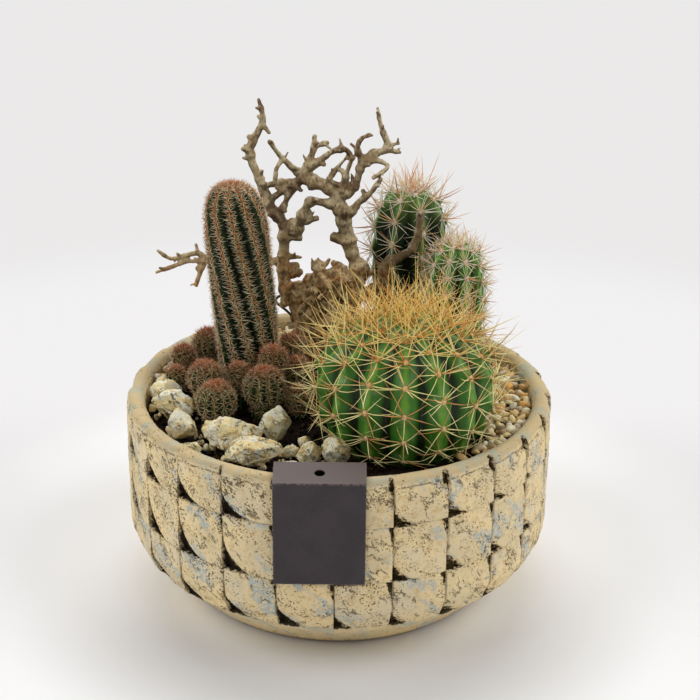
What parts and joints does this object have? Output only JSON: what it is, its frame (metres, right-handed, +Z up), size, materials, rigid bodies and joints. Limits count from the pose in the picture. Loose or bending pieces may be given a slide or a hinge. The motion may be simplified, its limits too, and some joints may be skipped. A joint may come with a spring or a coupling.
{
  "type": "cactus dish garden",
  "caption": "Round woven-relief cement bowl planted with cacti, with driftwood, stones, gravel and a folded label card",
  "frame": {"origin": "centre of the bowl's flat underside", "axes": "+Z up, -Y towards the front with the label card, +X to the right seen from the front"},
  "size_m": [0.2198, 0.2211, 0.2393],
  "materials": {
    "cement": "matt cast cement with dark speckles and a pale blue wash",
    "compost": "dark crumbly compost",
    "gravel": "fine mixed gravel",
    "card": "matt dark card",
    "wire": "thin black wire",
    "driftwood": "dry weathered wood",
    "barrel_skin": "waxy green skin with golden spines",
    "dark_skin": "dark green skin with pale and reddish spines",
    "bright_skin": "green skin with cream spines",
    "column_skin": "dark green skin with tan spines",
    "pale_stone": "rough pale stone with dark veins"
  },
  "bodies": {
    "root": {"bowl": "cement", "soil": "compost", "gravel": "gravel", "label_card": "card", "wire_pin": "wire", "driftwood": "driftwood", "barrel_cactus": "barrel_skin", "back_cactus_tall": "dark_skin", "back_cactus_short": "bright_skin", "column_cactus": "column_skin", "offset_01": "column_skin", "offset_02": "column_skin", "offset_03": "column_skin", "offset_04": "column_skin", "offset_05": "column_skin", "offset_06": "column_skin", "offset_07": "column_skin", "offset_08": "column_skin", "offset_09": "column_skin", "offset_10": "column_skin", "offset_11": "column_skin", "stone_01": "pale_stone", "stone_02": "pale_stone", "stone_03": "pale_stone", "stone_04": "pale_stone", "stone_05": "pale_stone", "stone_06": "pale_stone", "stone_07": "pale_stone", "stone_08": "pale_stone", "stone_09": "pale_stone", "stone_10": "pale_stone", "stone_11": "pale_stone", "stone_12": "pale_stone", "stone_13": "pale_stone", "stone_14": "pale_stone"}
  },
  "joints": []
}
